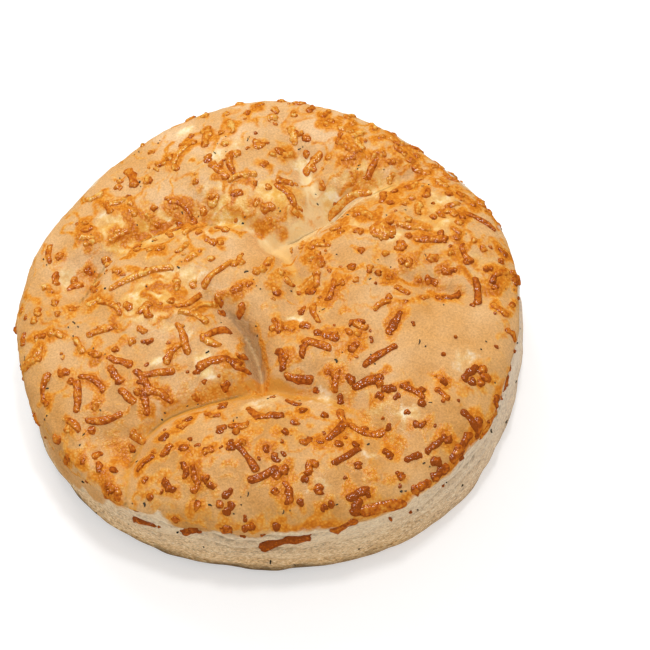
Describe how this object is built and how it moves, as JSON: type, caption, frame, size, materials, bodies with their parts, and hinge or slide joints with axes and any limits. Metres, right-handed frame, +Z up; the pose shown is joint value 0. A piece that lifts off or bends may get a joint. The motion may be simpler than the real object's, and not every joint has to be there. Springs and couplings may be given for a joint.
{
  "type": "focaccia",
  "caption": "Round flat-bottomed focaccia with a puffed, creased golden crust under browned cheese shreds and melt, herb flecks and a pale side wall.",
  "frame": {"origin": "centre of the flat base, on the surface the loaf rests on", "axes": "+Z up through the loaf, -Y towards the viewer, +X to the viewer's right"},
  "size_m": [0.2032, 0.2058, 0.0498],
  "materials": {
    "crust": "baked wheat crust, golden and matt with a fine grain, pale on the side wall",
    "cheese": "grated cheese, browned and melted, with an oily gloss",
    "herb": "dried herb flecks, dark green to black"
  },
  "bodies": {
    "root": {"focaccia": "crust"}
  },
  "joints": []
}
